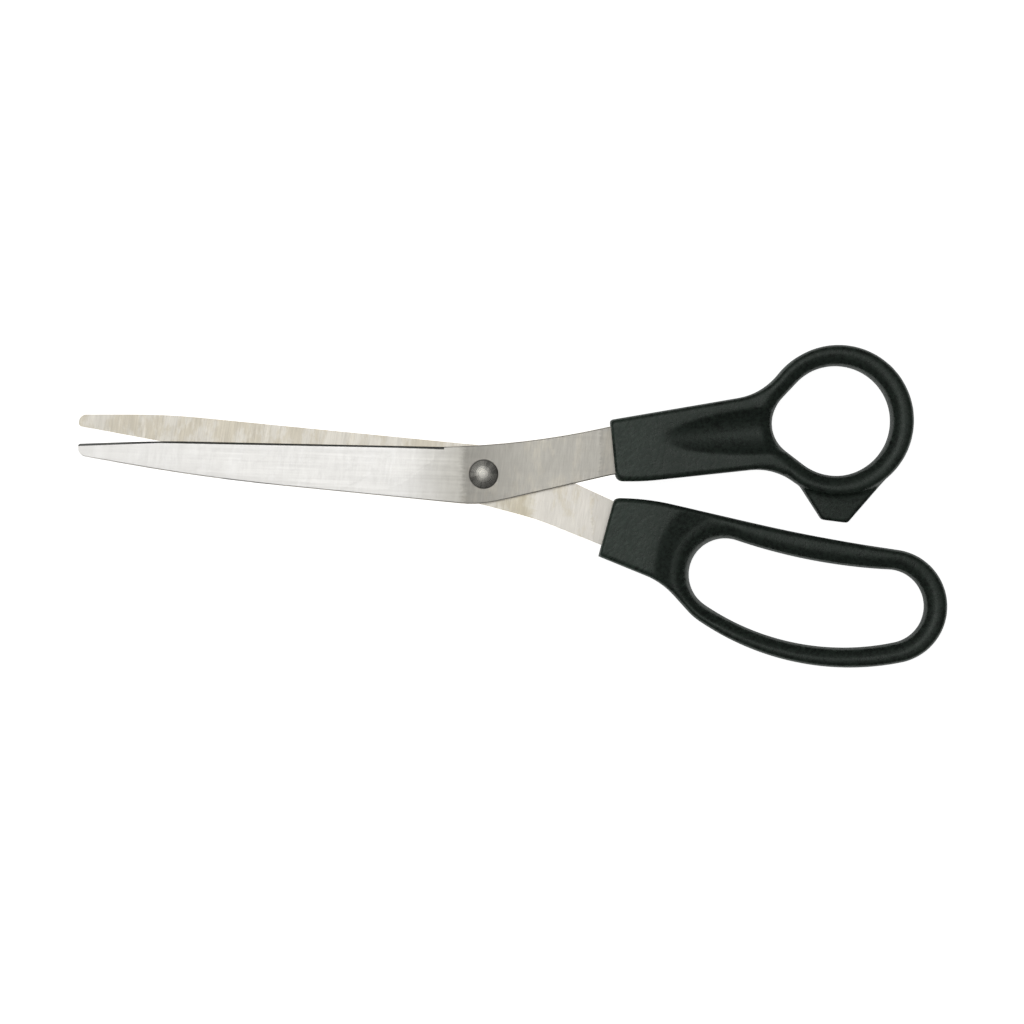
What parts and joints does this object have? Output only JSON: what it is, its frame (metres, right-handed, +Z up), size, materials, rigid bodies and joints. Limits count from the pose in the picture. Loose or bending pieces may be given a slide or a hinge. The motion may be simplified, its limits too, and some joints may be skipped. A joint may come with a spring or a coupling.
{
  "type": "fabric shears",
  "caption": "Long-bladed fabric shears: riveted stainless blades on moulded plastic handles, with a round thumb ring and a long finger loop.",
  "frame": {"origin": "middle of the bounding box at the underside of the handles, with the shears lying flat and slightly open", "axes": "+X from the blade tips to the handles, +Y from the finger loop to the thumb ring, +Z up out of the front blade and along the pivot"},
  "size_m": [0.2154, 0.0798, 0.0096],
  "materials": {
    "blade_steel": "satin ground stainless steel",
    "rivet_steel": "turned bright steel",
    "handle_plastic": "fine-grained black plastic"
  },
  "bodies": {
    "back_half": {"back_blade": "blade_steel", "finger_handle": "handle_plastic", "pivot_rivet": "rivet_steel", "rivet_washer": "rivet_steel"},
    "front_half": {"front_blade": "blade_steel", "thumb_handle": "handle_plastic"}
  },
  "joints": [
    {"name": "blades_pivot", "type": "hinge", "parent": "back_half", "child": "front_half", "pos_m": [-0.00717, 0.008, 0.0048], "axis": [0, 0, 1], "range_deg": [-2.8, 135]}
  ]
}
